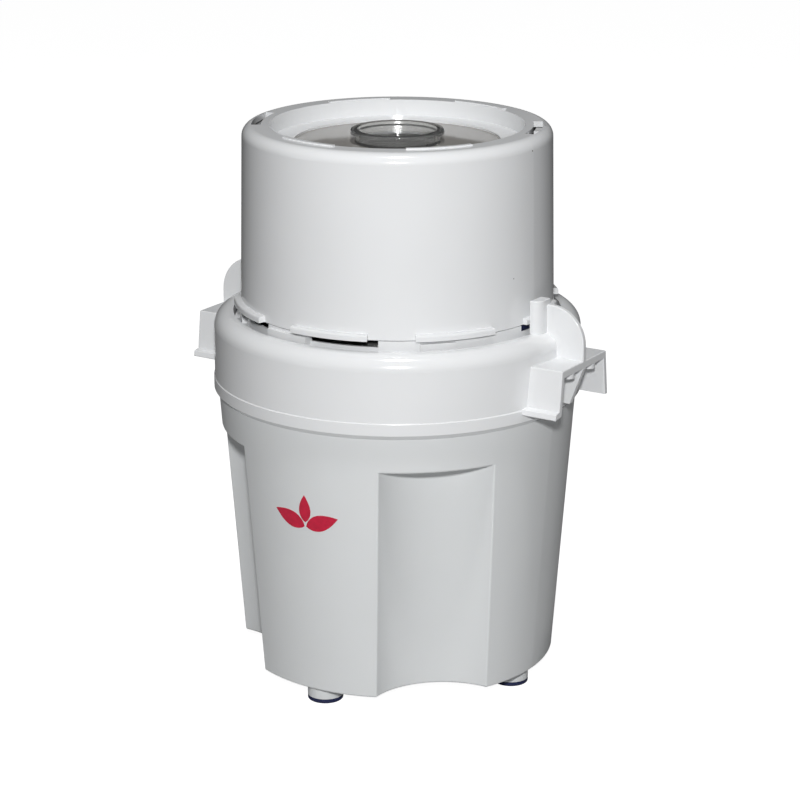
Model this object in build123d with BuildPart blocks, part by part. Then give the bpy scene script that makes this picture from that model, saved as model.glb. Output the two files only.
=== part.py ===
from build123d import *
from math import acos, cos, pi, radians, sin, tan
import os

# Electric food chopper: a motor base with a sprung seat ring, a drop-in bowl with a blade,
# and a tall cover that is pressed down to run it. Millimetres, +Z up, z = 0 under the feet.
# The grips lie on the X axis, the cord inlet at +Y and the plain front lobe at -Y.

os.makedirs("parts", exist_ok=True)

# ---- driving dimensions: outside -------------------------------------------------------
WALL = 2.5
PAD_H = 2.2
FOOT_R = 8.2
FOOT_CIRCLE_R = 62.4
HOUSING_Z = 8.2
SEAM_Z = 134.0
HOUSING_R_BOTTOM = 73.7
HOUSING_R_TOP = 82.8
RECESS_TOP_Z = 118.0
RECESS_R = 35.1
RECESS_AXIS_R = 93.1
RECESS_LEAN = 0.068
CREASE_Z = 142.0
COLLAR_R = 85.0
COLLAR_SEAM_R = 83.2
SHOULDER_R = 7.0
COLLAR_CHAMFER_H = 2.4
COLLAR_STEP = 0.4
COLLAR_TOP_Z = 172.0
COLLAR_MOUTH_R = 75.6

# ---- driving dimensions: press-down seat ring and cover --------------------------------
PRESS_TRAVEL = 4.5
REST_GAP = 0.3
RING_R = 72.3
RING_WALL = 2.6
RING_BOTTOM_Z = 149.8
RING_LEDGE_Z = 157.2
RING_LEDGE_T = 3.0
RING_LEDGE_R = 56.0
RING_UPPER_WALL = 3.3
RING_FLANGE_R = 74.9
RING_FLANGE_Z = 165.0
RING_FLANGE_T = 3.0
LUG_R = 74.2
COVER_Z = 176.0
COVER_TOP_Z = 258.0
COVER_R_BOTTOM = 72.0
COVER_R_TOP = 70.4
COVER_WALL = 2.4
COVER_MOUTH_R = 58.0
MOUTH_LEDGE_Z = 250.5
MOUTH_LEDGE_R = 47.0
WINDOW_TOP_Z = 249.7
WINDOW_T = 3.0
WINDOW_R = 63.0
TAB_R = 75.2
POST_TAB_R = 73.9
TAB_H = 2.8
TAB_SPAN = 28.7
TAB_START = 7.5
KNOB_R = 21.4
KNOB_TUBE_R = 19.5
KNOB_H = 5.8
KNOB_WALL = 1.4
KNOB_FLOOR_T = 1.0

# ---- driving dimensions: deck ----------------------------------------------------------
DECK_Z = 142.0
DECK_T = 3.0
DECK_TOP_Z = DECK_Z + DECK_T
GUIDE_R = 77.8
NECK_R = 13.0
NECK_TOP_Z = 151.0
SPRING_CIRCLE_R = 64.0
SPRING_R = 3.2
SPRING_WIRE_R = 0.45
DECK_SCREW_CIRCLE_R = 72.0
GEAR_SCREW_CIRCLE_R = 46.0
PLUNGER_TURN = -2.0
PLUNGER_SPAN = 9.0
PLUNGER_OUT_R = 71.2

# ---- driving dimensions: bowl and blade ------------------------------------------------
BOWL_Z = RING_LEDGE_Z + REST_GAP
BOWL_R = 64.0
BOWL_WALL = 2.0
BOWL_TOP_Z = 244.6
TUNNEL_R = 11.0
TUNNEL_BORE_R = 9.0
TUNNEL_TOP_Z = 186.0
DOG_FLATS = 12.0
DOG_TOP_Z = 190.0
HUB_TOP_Z = 199.0
HUB_BORE_R = 11.5
BLADE_T = 1.5
BLADE_R = 56.0

# ---- driving dimensions: motor ---------------------------------------------------------
SHAFT_R = 4.0
RUN_CLEARANCE = 0.04
CORE_Z = 46.0
CORE_H = 32.0
CORE_R = 22.0
BORE_R = 22.6
COMMUTATOR_R = 9.0
COMMUTATOR_Z = 27.0
COMMUTATOR_H = 12.0
TIE_Y = 34.0
TIE_R = 2.0
COLUMN_R = 5.0
BRACKET_Z = 18.0
BRACKET_T = 4.0
FAN_Z = 86.0
FAN_H = 8.0
FAN_R = 27.0
UPPER_BRACKET_Z = 100.0
CASE_Z = UPPER_BRACKET_Z + BRACKET_T
CASE_R = 41.0
CASE_TOP_Z = 137.0
CASE_TOP_T = 4.0

# ---- driving dimensions: reduction gears -----------------------------------------------
MODULE = 1.0
SUN_TEETH = 18
PLANET_TEETH = 24
RING_TEETH = SUN_TEETH + 2 * PLANET_TEETH
PLANETS = 3
GEAR_Z = 109.0
GEAR_H = 13.0
ORBIT_R = MODULE * (SUN_TEETH + PLANET_TEETH) / 2
BACKLASH = 0.16
PIN_R = 3.0
CARRIER_Z = 124.5
CARRIER_T = 4.5
CARRIER_R = 27.0
RING_GEAR_R = 37.0
OUTPUT_R = 5.0
OUTPUT_BUSH_R = 9.0
PRESSURE_ANGLE = radians(20)


# ---- shared shapes ---------------------------------------------------------------------
def housing_radius(z):
    """Outer radius of the tapered housing at height z."""
    share = (z - HOUSING_Z) / (SEAM_Z - HOUSING_Z)
    return HOUSING_R_BOTTOM + (HOUSING_R_TOP - HOUSING_R_BOTTOM) * share


def outline(*points):
    """Fill a closed polyline, in the sketch that is open."""
    Polygon(*points, align=None)


def sector(inner, outer, middle, span):
    """Fill a piece of a flat ring, in the sketch that is open; angles in degrees from +X."""
    start = middle - span / 2
    with BuildLine() as edge:
        near = CenterArc((0, 0), inner, start, span)
        far = CenterArc((0, 0), outer, start, span)
        Line(near @ 0, far @ 0)
        Line(near @ 1, far @ 1)
    make_face(edge.edges())


def involute(angle):
    """The involute function of a pressure angle."""
    return tan(angle) - angle


def gear_points(teeth, root_r, tip_r, thinning, turn):
    """Outline of an involute gear; thinning is taken off each tooth at the pitch circle."""
    pitch_r = MODULE * teeth / 2
    base_r = pitch_r * cos(PRESSURE_ANGLE)
    half_tooth = pi / 2 / teeth - thinning / 2 / pitch_r + involute(PRESSURE_ANGLE)
    low_r = max(root_r, base_r)
    radii = [root_r] + [low_r + (tip_r - low_r) * step / 3 for step in range(4)]
    if low_r == root_r:
        radii = radii[1:]
    flank = [(r, half_tooth - involute(acos(min(1.0, base_r / r)))) for r in radii]
    points = []
    for tooth in range(teeth):
        middle = turn + 2 * pi * tooth / teeth
        rising = [(r, middle - a) for r, a in flank]
        falling = [(r, middle + a) for r, a in reversed(flank)]
        points += [(r * cos(a), r * sin(a)) for r, a in rising + falling]
    return points


def external_gear(teeth, turn=0.0):
    """Fill the outline of an external gear, in the sketch that is open."""
    pitch_r = MODULE * teeth / 2
    outline(*gear_points(teeth, pitch_r - 1.25 * MODULE, pitch_r + MODULE, BACKLASH / 2, turn))


def planet_direction(index):
    """Angle of a planet around the main axis, in radians."""
    return pi / 2 + 2 * pi * index / PLANETS


def planet_turn(index):
    """Angle of a planet's first tooth, so that it meshes with a sun tooth at angle 0."""
    way = planet_direction(index)
    return way + pi + way * SUN_TEETH / PLANET_TEETH - pi / PLANET_TEETH


def ring_gear_turn():
    """Angle of the ring gear's first space, in mesh with the planets."""
    way = planet_direction(0)
    return way - (way - planet_turn(0)) * PLANET_TEETH / RING_TEETH


def planet_centre(index):
    """Centre of a planet in the XY plane."""
    way = planet_direction(index)
    return ORBIT_R * cos(way), ORBIT_R * sin(way)


def recess_tool(extra, top_z):
    """Four leaning cylinders on the diagonals, cut level at top_z."""
    with BuildPart() as tool:
        for corner in range(4):
            way = radians(45 + 90 * corner)
            outward = Vector(cos(way), sin(way), 0)
            foot = outward * RECESS_AXIS_R + Vector(0, 0, HOUSING_Z)
            leaning = Plane(origin=foot, z_dir=outward * RECESS_LEAN + Vector(0, 0, 1))
            with BuildSketch(leaning):
                Circle(RECESS_R + extra)
            extrude(amount=150, both=True)
        split(bisect_by=Plane.XY.offset(top_z), keep=Keep.BOTTOM)
    return tool.part


def housing_cavity():
    """The space inside the housing, one wall in from its skin."""
    with BuildPart() as cavity:
        with BuildSketch(Plane.XZ):
            outline(
                (0, HOUSING_Z - 1),
                (housing_radius(HOUSING_Z - 1) - WALL, HOUSING_Z - 1),
                (housing_radius(SEAM_Z + 1) - WALL, SEAM_Z + 1),
                (0, SEAM_Z + 1),
            )
        revolve(axis=Axis.Z)
        add(recess_tool(WALL, RECESS_TOP_Z + WALL), mode=Mode.SUBTRACT)
    return cavity.part


# ---- motor base: shell, base plate and feet --------------------------------------------
HOUSING_EDGE_R = 1.0
SCREW_HEAD_R = 3.4
SCREW_HEAD_H = 2.0
SCREW_L = 14.0
FOOT_HOLE_R = FOOT_R - 3
FOOT_HOLE_DEPTH = 3.0
GRILLE_ROWS = 4
GRILLE_PITCH = 6.0
GRILLE_SLOT_W = 2.6
GRILLE_SLOT_L = 48.0
PAD_EDGE_R = 0.8
PAD_PLUG_H = 2.6
BASE_PLATE_Z = 10.0
BASE_PLATE_T = 2.5
BASE_SCREW_R = 1.75
BASE_SCREW_CIRCLE_R = 50.0
BASE_BOSS_R = 4.2
BASE_BOSS_TOP_Z = 32.0
DECK_BOSS_R = 5.0
INLET_Z = 26.0
INLET_R = 6.0
CORD_BORE_R = 3.6


def make_motor_housing():
    with BuildPart() as motor_housing:
        with BuildSketch(Plane.XZ):
            outline(
                (0, HOUSING_Z),
                (HOUSING_R_BOTTOM, HOUSING_Z),
                (HOUSING_R_TOP, SEAM_Z),
                (0, SEAM_Z),
            )
        revolve(axis=Axis.Z)
        add(recess_tool(0, RECESS_TOP_Z), mode=Mode.SUBTRACT)
        # soften the foot of the housing, the upright edges of the recesses and their ledges
        edges = motor_housing.edges()
        foot_edges = edges.group_by(Axis.Z)[0]
        upright_edges = edges.filter_by(GeomType.BSPLINE)
        ledge_edges = edges.filter_by_position(Axis.Z, RECESS_TOP_Z - 0.1, RECESS_TOP_Z + 0.1)
        ledge_edges = ledge_edges.filter_by(GeomType.CIRCLE)
        fillet(foot_edges + upright_edges + ledge_edges, radius=HOUSING_EDGE_R)
        add(housing_cavity(), mode=Mode.SUBTRACT)
        # bosses for the base screws, each tied to the wall of its lobe by a rib
        boss_z = BASE_PLATE_Z + BASE_PLATE_T
        with BuildSketch(Plane.XY.offset(boss_z)):
            with PolarLocations(BASE_SCREW_CIRCLE_R, 4):
                Circle(BASE_BOSS_R)
            rib_end = housing_radius(boss_z) - WALL / 2
            with PolarLocations((BASE_SCREW_CIRCLE_R + rib_end) / 2, 4):
                Rectangle(rib_end - BASE_SCREW_CIRCLE_R, 2)
        extrude(amount=BASE_BOSS_TOP_Z - boss_z)
        with BuildSketch(Plane.XY.offset(boss_z)):
            with PolarLocations(BASE_SCREW_CIRCLE_R, 4):
                Circle(BASE_SCREW_R)
        extrude(amount=14, mode=Mode.SUBTRACT)
        # bosses for the deck screws, standing on the ledges over the recesses
        with BuildSketch(Plane.XY.offset(RECESS_TOP_Z + 1)):
            with PolarLocations(DECK_SCREW_CIRCLE_R, 4, start_angle=45):
                Circle(DECK_BOSS_R)
        extrude(amount=DECK_Z - RECESS_TOP_Z - 1)
        with BuildSketch(Plane.XY.offset(DECK_Z)):
            with PolarLocations(DECK_SCREW_CIRCLE_R, 4, start_angle=45):
                Circle(BASE_SCREW_R)
        extrude(amount=-14, mode=Mode.SUBTRACT)
        # round hole for the cord inlet, in the back lobe
        with BuildSketch(Plane(origin=(0, 60, INLET_Z), z_dir=(0, 1, 0))):
            Circle(INLET_R)
        extrude(amount=30, mode=Mode.SUBTRACT)
    motor_housing.part.label = "motor_housing"
    export_step(motor_housing.part, "parts/motor_housing.step")


def make_base_plate():
    clear = 0.3
    with BuildPart() as base_plate:
        with BuildSketch(Plane.XY.offset(BASE_PLATE_Z)):
            Circle(housing_radius(BASE_PLATE_Z) - WALL - clear)
            with PolarLocations(RECESS_AXIS_R, 4, start_angle=45):
                Circle(RECESS_R + WALL + 2 * clear, mode=Mode.SUBTRACT)
        extrude(amount=BASE_PLATE_T)
        # hollow feet stand below the plate
        with BuildSketch(Plane.XY.offset(PAD_H)):
            with PolarLocations(FOOT_CIRCLE_R, 4):
                Circle(FOOT_R)
        extrude(amount=BASE_PLATE_Z - PAD_H)
        with BuildSketch(Plane.XY.offset(PAD_H)):
            with PolarLocations(FOOT_CIRCLE_R, 4):
                Circle(FOOT_HOLE_R)
        extrude(amount=FOOT_HOLE_DEPTH, mode=Mode.SUBTRACT)
        # screw holes and the motor's air inlet grille
        with BuildSketch(Plane.XY.offset(BASE_PLATE_Z)):
            with PolarLocations(BASE_SCREW_CIRCLE_R, 4):
                Circle(BASE_SCREW_R)
            for row in range(-GRILLE_ROWS, GRILLE_ROWS + 1):
                with Locations((0, row * GRILLE_PITCH)):
                    SlotOverall(GRILLE_SLOT_L - 4 * abs(row), GRILLE_SLOT_W)
        extrude(amount=BASE_PLATE_T, mode=Mode.SUBTRACT)
    base_plate.part.label = "base_plate"
    export_step(base_plate.part, "parts/base_plate.step")


def make_foot_pads():
    for index, name in enumerate(("right", "back", "left", "front")):
        way = radians(90 * index)
        centre = (FOOT_CIRCLE_R * cos(way), FOOT_CIRCLE_R * sin(way))
        with BuildPart() as foot_pad:
            with BuildSketch(Plane.XY):
                with Locations(centre):
                    Circle(FOOT_R)
            extrude(amount=PAD_H)
            bottom = foot_pad.faces().sort_by(Axis.Z)[0].edges()
            fillet(bottom, radius=PAD_EDGE_R)
            with BuildSketch(Plane.XY.offset(PAD_H)):
                with Locations(centre):
                    Circle(FOOT_HOLE_R)
            extrude(amount=PAD_PLUG_H)
        foot_pad.part.label = f"foot_pad_{name}"
        export_step(foot_pad.part, f"parts/foot_pad_{name}.step")


def make_base_screws():
    with BuildPart() as base_screws:
        with BuildSketch(Plane.XY.offset(BASE_PLATE_Z)):
            with PolarLocations(BASE_SCREW_CIRCLE_R, 4):
                Circle(BASE_SCREW_R)
        extrude(amount=SCREW_L)
        with BuildSketch(Plane.XY.offset(BASE_PLATE_Z)):
            with PolarLocations(BASE_SCREW_CIRCLE_R, 4):
                Circle(SCREW_HEAD_R)
                RegularPolygon(1.2, 4, mode=Mode.SUBTRACT)
        extrude(amount=-SCREW_HEAD_H)
    base_screws.part.label = "base_screws"
    export_step(base_screws.part, "parts/base_screws.step")


def make_cord_inlet():
    """Flanged bush in the back wall, with a bore for a mains lead."""
    wall_y = housing_radius(INLET_Z)
    neck = 8.0
    flange_y = wall_y + 0.6
    flange = 2.2
    outward = (0, 1, 0)
    with BuildPart() as cord_inlet:
        with BuildSketch(Plane(origin=(0, wall_y - neck, INLET_Z), z_dir=outward)):
            Circle(INLET_R)
        extrude(amount=neck + flange)
        with BuildSketch(Plane(origin=(0, flange_y, INLET_Z), z_dir=outward)):
            Circle(INLET_R + flange)
        extrude(amount=flange)
        rim = cord_inlet.faces().sort_by(Axis.Y)[-1].edges()
        fillet(rim, radius=1)
        with BuildSketch(Plane(origin=(0, flange_y, INLET_Z), z_dir=outward)):
            Circle(CORD_BORE_R)
        extrude(amount=2 * neck, both=True, mode=Mode.SUBTRACT)
    cord_inlet.part.label = "cord_inlet"
    export_step(cord_inlet.part, "parts/cord_inlet.step")


# ---- collar, deck and grips ------------------------------------------------------------
GRIP_OUT = 98.0
GRIP_SHELF_Z = 161.0
GRIP_SHELF_T = 3.5
GRIP_HALF = 20.5
GRIP_FLARE = 2.4
GRIP_BOTTOM_Z = 140.4
LIP_OUT = 3.2
LIP_H = 2.6
GRIP_T = 2.6
POST_IN_R = 74.8
POST_OUT = 79.4
POST_HALF = 8.0
POST_ROUND_R = 4.0
POST_TOP_Z = 187.0
RIB_R = 17.0
RIB_TOP_Z = 184.6
RIB_T = 2.6
GRIP_SCREW_Z = GRIP_SHELF_Z - GRIP_SHELF_T / 2
GRIP_SCREW_Y = 12.0
GRIP_SCREW_R = 1.2
GRIP_EDGE_R = 0.5


def collar_profile():
    """Half section of the collar skin, as a face in the XZ plane."""
    under_z = COLLAR_TOP_Z - 2.6
    with BuildSketch(Plane.XZ) as section:
        outline(
            (COLLAR_SEAM_R - WALL, SEAM_Z),
            (COLLAR_SEAM_R - 0.6, SEAM_Z),
            (COLLAR_R, SEAM_Z + COLLAR_CHAMFER_H),
            (COLLAR_R, CREASE_Z - COLLAR_STEP),
            (COLLAR_R - COLLAR_STEP, CREASE_Z),
            (COLLAR_R - COLLAR_STEP, COLLAR_TOP_Z),
            (COLLAR_MOUTH_R, COLLAR_TOP_Z),
            (COLLAR_MOUTH_R, under_z),
            (COLLAR_R - WALL, under_z),
            (COLLAR_R - WALL, CREASE_Z),
        )
        shoulder = section.vertices().group_by(Axis.Y)[-1].sort_by(Axis.X)
        fillet(shoulder[-1], radius=SHOULDER_R)
        fillet(shoulder[0], radius=1)
        inner = section.vertices().sort_by_distance((COLLAR_R - WALL, under_z))[0]
        fillet(inner, radius=SHOULDER_R - WALL)
    return section.sketch


def make_collar():
    with BuildPart() as collar:
        add(collar_profile())
        revolve(axis=Axis.Z)
        for side in (1, -1):
            for y in (GRIP_SCREW_Y, -GRIP_SCREW_Y):
                with BuildSketch(Plane(origin=(side * 78, y, GRIP_SCREW_Z), z_dir=(side, 0, 0))):
                    Circle(GRIP_SCREW_R)
                extrude(amount=12, mode=Mode.SUBTRACT)
    collar.part.label = "collar"
    export_step(collar.part, "parts/collar.step")


def make_top_deck():
    """Floor under the bowl, with the wall that guides the seat ring and the spindle neck."""
    with BuildPart() as top_deck:
        with BuildSketch(Plane.XZ):
            outline(
                (OUTPUT_BUSH_R, DECK_Z - 3),
                (NECK_R, DECK_Z - 3),
                (NECK_R, DECK_Z),
                (COLLAR_R - WALL - 0.6, DECK_Z),
                (COLLAR_R - WALL - 0.6, DECK_TOP_Z),
                (GUIDE_R, DECK_TOP_Z),
                (GUIDE_R, COLLAR_TOP_Z - 2.7),
                (COLLAR_MOUTH_R, COLLAR_TOP_Z - 2.7),
                (COLLAR_MOUTH_R, DECK_TOP_Z),
                (NECK_R, DECK_TOP_Z),
                (NECK_R, NECK_TOP_Z),
                (OUTPUT_BUSH_R, NECK_TOP_Z),
            )
        revolve(axis=Axis.Z)
        # bosses that carry the gear case, and pins that locate the return springs
        with BuildSketch(Plane.XY.offset(CASE_TOP_Z)):
            with PolarLocations(GEAR_SCREW_CIRCLE_R, 4, start_angle=45):
                Circle(5)
        extrude(amount=DECK_Z - CASE_TOP_Z)
        with BuildSketch(Plane.XY.offset(DECK_TOP_Z)):
            with PolarLocations(SPRING_CIRCLE_R, 4, start_angle=45):
                Circle(SPRING_R - SPRING_WIRE_R - 0.3)
        extrude(amount=3)
        with BuildSketch(Plane.XY.offset(CASE_TOP_Z)):
            with PolarLocations(GEAR_SCREW_CIRCLE_R, 4, start_angle=45):
                Circle(BASE_SCREW_R)
        extrude(amount=6, mode=Mode.SUBTRACT)
        with BuildSketch(Plane.XY.offset(DECK_Z)):
            with PolarLocations(DECK_SCREW_CIRCLE_R, 4, start_angle=45):
                Circle(BASE_SCREW_R)
        extrude(amount=DECK_T, mode=Mode.SUBTRACT)
        with BuildSketch(Plane.XY.offset(DECK_TOP_Z)):
            with PolarLocations(DECK_SCREW_CIRCLE_R, 4, start_angle=45):
                Circle(3)
        extrude(amount=-2, mode=Mode.SUBTRACT)
        # slot that the interlock plunger passes through
        with BuildSketch(Plane.XY.offset(DECK_Z)):
            sector(RING_R - RING_WALL - 0.6, RING_R + 0.6, PLUNGER_TURN, PLUNGER_SPAN + 2)
        extrude(amount=DECK_T, mode=Mode.SUBTRACT)
    top_deck.part.label = "top_deck"
    export_step(top_deck.part, "parts/top_deck.step")


def make_deck_screws():
    with BuildPart() as deck_screws:
        with BuildSketch(Plane.XY.offset(DECK_Z - 13)):
            with PolarLocations(DECK_SCREW_CIRCLE_R, 4, start_angle=45):
                Circle(BASE_SCREW_R)
        extrude(amount=14)
        with BuildSketch(Plane.XY.offset(DECK_TOP_Z - 2)):
            with PolarLocations(DECK_SCREW_CIRCLE_R, 4, start_angle=45):
                Circle(3)
        extrude(amount=1.8)
    deck_screws.part.label = "deck_screws"
    export_step(deck_screws.part, "parts/deck_screws.step")


def collar_clearance():
    """Everything inside the collar's skin, plus a hair, for trimming the grips to it."""
    with BuildPart() as clearance:
        with BuildSketch(Plane.XZ) as section:
            outline(
                (0, SEAM_Z - 20),
                (COLLAR_R, SEAM_Z - 20),
                (COLLAR_R, CREASE_Z - COLLAR_STEP),
                (COLLAR_R - COLLAR_STEP, CREASE_Z),
                (COLLAR_R - COLLAR_STEP, COLLAR_TOP_Z),
                (0, COLLAR_TOP_Z),
            )
            shoulder = section.vertices().group_by(Axis.Y)[-1].sort_by(Axis.X)
            fillet(shoulder[-1], radius=SHOULDER_R)
        revolve(axis=Axis.Z)
    return clearance.part


def grip_edges(grip):
    """The edges that a hand meets: outer outline, shelf corners, lips, rib and post top."""
    outer = grip.faces().sort_by(Axis.X)[-1].edges()
    outline_edges = [e for e in outer if e.length > RIB_T + 0.5]
    along = grip.edges().filter_by(Axis.X)
    shelf_corners = [e for e in along if abs(e.center().Z - GRIP_SHELF_Z) < 0.1]
    shelf_corners = [e for e in shelf_corners if abs(e.center().Y) > GRIP_HALF - 0.1]
    lips = [e for e in along if e.center().Y < -GRIP_HALF - GRIP_FLARE - 0.5]
    rib_arcs = [e for e in grip.edges().filter_by(GeomType.CIRCLE) if abs(e.radius - RIB_R) < 0.01]
    post_top = grip.edges().filter_by_position(Axis.Z, POST_TOP_Z - 0.1, POST_TOP_Z + 0.1)
    post_top = [e for e in post_top if e.center().X > POST_OUT - 1]
    return outline_edges + shelf_corners + lips + rib_arcs + post_top


def make_grip(name, side):
    """Finger grip: guide post, round rib, level shelf, two flared ends and a middle web."""
    shelf_in = POST_OUT - 5
    rib_z = RIB_TOP_Z - RIB_R
    with BuildPart() as grip:
        # guide post against the cover
        with BuildSketch(Plane.XY.offset(COLLAR_TOP_Z - 6)):
            with Locations(((POST_IN_R - 4 + POST_OUT) / 2, (RIB_T / 2 - POST_HALF) / 2)):
                Rectangle(POST_OUT - POST_IN_R + 4, POST_HALF + RIB_T / 2)
            Circle(POST_IN_R, mode=Mode.SUBTRACT)
        extrude(amount=POST_TOP_Z - COLLAR_TOP_Z + 6)
        uprights = grip.edges().filter_by(Axis.Z).sort_by(Axis.X)[-2:]
        fillet(uprights.sort_by(Axis.Y)[0], radius=POST_ROUND_R)
        # rib from the post over the shelf and down to the collar
        with BuildSketch(Plane.XZ.offset(-RIB_T / 2)):
            with BuildLine():
                over = CenterArc((GRIP_OUT - RIB_R, rib_z), RIB_R, 0, 90)
                Polyline(
                    over @ 0,
                    (GRIP_OUT, GRIP_SHELF_Z - GRIP_SHELF_T),
                    (GRIP_OUT - 6.5, GRIP_BOTTOM_Z),
                    (shelf_in, GRIP_BOTTOM_Z),
                    (shelf_in, over.position_at(1).Y),
                    over @ 1,
                )
            make_face()
        extrude(amount=RIB_T)
        # level shelf
        with BuildSketch(Plane.XY.offset(GRIP_SHELF_Z - GRIP_SHELF_T)):
            with Locations(((shelf_in + GRIP_OUT) / 2, 0)):
                Rectangle(GRIP_OUT - shelf_in, 2 * GRIP_HALF)
        extrude(amount=GRIP_SHELF_T)
        with BuildSketch(Plane.XY.offset(GRIP_SHELF_Z - GRIP_SHELF_T)):
            with Locations((GRIP_OUT - 3, 9.5), (GRIP_OUT - 3, -9.5)):
                Circle(2.8)
        extrude(amount=-2.2)
        # flared ends, the front one with a lip along its lower edge
        low = GRIP_HALF + GRIP_FLARE
        for end in (1, -1):
            with BuildSketch(Plane.YZ.offset(shelf_in)):
                outline(
                    (end * (GRIP_HALF - GRIP_T), GRIP_SHELF_Z - 1),
                    (end * (low - GRIP_T), GRIP_BOTTOM_Z),
                    (end * low, GRIP_BOTTOM_Z),
                    (end * GRIP_HALF, GRIP_SHELF_Z),
                )
            extrude(amount=GRIP_OUT - shelf_in)
        with BuildSketch(Plane.YZ.offset(shelf_in)):
            outline(
                (GRIP_T - low, GRIP_BOTTOM_Z),
                (-low - LIP_OUT, GRIP_BOTTOM_Z - 0.8),
                (-low - LIP_OUT + 0.6, GRIP_BOTTOM_Z + LIP_H - 0.6),
                (0.2 - low, GRIP_BOTTOM_Z + LIP_H),
            )
        extrude(amount=GRIP_OUT - shelf_in)
        add(collar_clearance(), mode=Mode.SUBTRACT)
        with BuildSketch(Plane.XY.offset(GRIP_BOTTOM_Z - 3)):
            Circle(POST_IN_R)
        extrude(amount=60, mode=Mode.SUBTRACT)
        fillet(grip_edges(grip), radius=GRIP_EDGE_R)
        # blind holes for the screws from inside the collar
        for y in (GRIP_SCREW_Y, -GRIP_SCREW_Y):
            with BuildSketch(Plane(origin=(COLLAR_R - 5, y, GRIP_SCREW_Z), z_dir=(1, 0, 0))):
                Circle(GRIP_SCREW_R)
            extrude(amount=11, mode=Mode.SUBTRACT)
    finished = grip.part
    if side < 0:
        finished = finished.mirror(Plane.YZ)
    finished.label = name
    export_step(finished, f"parts/{name}.step")


def make_grip_screws():
    """Screws driven outwards through the collar skin into the shelves."""
    head_x = COLLAR_R - WALL - 1.4
    with BuildPart() as grip_screws:
        for side in (1, -1):
            for y in (GRIP_SCREW_Y, -GRIP_SCREW_Y):
                with BuildSketch(Plane(origin=(side * head_x, y, GRIP_SCREW_Z), z_dir=(side, 0, 0))):
                    Circle(GRIP_SCREW_R)
                extrude(amount=9)
                with BuildSketch(Plane(origin=(side * head_x, y, GRIP_SCREW_Z), z_dir=(side, 0, 0))):
                    Circle(2.3)
                extrude(amount=-2)
    grip_screws.part.label = "grip_screws"
    export_step(grip_screws.part, "parts/grip_screws.step")


# ---- sprung seat ring and interlock ----------------------------------------------------
NOTCHES = (-123.7, -77.8, 56.3, 102.2)
SHALLOW_NOTCHES = (4.8, 184.8)
NOTCH_SPAN = 26.4
NOTCH_BACK_R = 70.1
NOTCH_GAP_Z = 172.3
PLUNGER_SILL_Z = 173.0
LUGS = ((-100.0, 18.0), (-44.0, 12.5), (80.0, 18.0), (136.0, 12.5))


def make_seat_ring():
    top_z = COVER_Z - REST_GAP
    slot_in_r = RING_R - RING_WALL - 0.9
    with BuildPart() as seat_ring:
        with BuildSketch(Plane.XZ):
            outline(
                (RING_R - RING_WALL, RING_BOTTOM_Z),
                (RING_R, RING_BOTTOM_Z),
                (RING_R, RING_FLANGE_Z - 2),
                (RING_FLANGE_R, RING_FLANGE_Z),
                (RING_FLANGE_R, RING_FLANGE_Z + RING_FLANGE_T),
                (RING_R, RING_FLANGE_Z + RING_FLANGE_T),
                (RING_R, top_z),
                (RING_R - RING_UPPER_WALL, top_z),
                (RING_R - RING_UPPER_WALL, RING_LEDGE_Z),
                (RING_LEDGE_R, RING_LEDGE_Z),
                (RING_LEDGE_R, RING_LEDGE_Z - RING_LEDGE_T),
                (RING_R - RING_WALL, RING_LEDGE_Z - RING_LEDGE_T),
            )
        revolve(axis=Axis.Z)
        # pockets in the outer face, open through the wall near the top
        with BuildSketch(Plane.XY.offset(top_z)):
            for middle in NOTCHES:
                sector(NOTCH_BACK_R, RING_R + 1, middle, NOTCH_SPAN)
        extrude(amount=RING_FLANGE_Z + RING_FLANGE_T - top_z, mode=Mode.SUBTRACT)
        with BuildSketch(Plane.XY.offset(top_z)):
            for middle in NOTCHES:
                sector(RING_R - RING_UPPER_WALL - 1, RING_R + 1, middle, NOTCH_SPAN)
        extrude(amount=NOTCH_GAP_Z - top_z, mode=Mode.SUBTRACT)
        with BuildSketch(Plane.XY.offset(top_z)):
            for middle in SHALLOW_NOTCHES:
                sector(RING_R - RING_UPPER_WALL - 1, RING_R + 1, middle, NOTCH_SPAN)
        extrude(amount=PLUNGER_SILL_Z - top_z, mode=Mode.SUBTRACT)
        with BuildSketch(Plane.XY.offset(top_z - 6)):
            for middle, span in LUGS:
                sector(RING_R - 1, LUG_R, middle, span)
        extrude(amount=5)
        # way through for the interlock plunger
        with BuildSketch(Plane.XY.offset(RING_BOTTOM_Z)):
            sector(slot_in_r, PLUNGER_OUT_R + 0.4, PLUNGER_TURN, PLUNGER_SPAN + 1.6)
        extrude(amount=top_z - RING_BOTTOM_Z, mode=Mode.SUBTRACT)
        with BuildSketch(Plane.XY.offset(PLUNGER_SILL_Z)):
            sector(slot_in_r, RING_R + 1, PLUNGER_TURN, PLUNGER_SPAN + 1.6)
        extrude(amount=top_z - PLUNGER_SILL_Z, mode=Mode.SUBTRACT)
    seat_ring.part.label = "seat_ring"
    export_step(seat_ring.part, "parts/seat_ring.step")


def make_return_springs():
    """Four coil springs between the deck and the underside of the seat ring."""
    height = RING_LEDGE_Z - RING_LEDGE_T - DECK_TOP_Z - 2 * SPRING_WIRE_R - 0.3
    with BuildPart() as return_springs:
        for corner in range(4):
            way = radians(45 + 90 * corner)
            centre = (SPRING_CIRCLE_R * cos(way), SPRING_CIRCLE_R * sin(way))
            with BuildLine():
                wire = Helix(
                    pitch=height / 4,
                    height=height,
                    radius=SPRING_R,
                    center=(centre[0], centre[1], DECK_TOP_Z + SPRING_WIRE_R + 0.1),
                )
            with BuildSketch(Plane(origin=wire @ 0, z_dir=wire % 0)):
                Circle(SPRING_WIRE_R)
            sweep(path=wire)
    return_springs.part.label = "return_springs"
    export_step(return_springs.part, "parts/return_springs.step")


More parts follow.
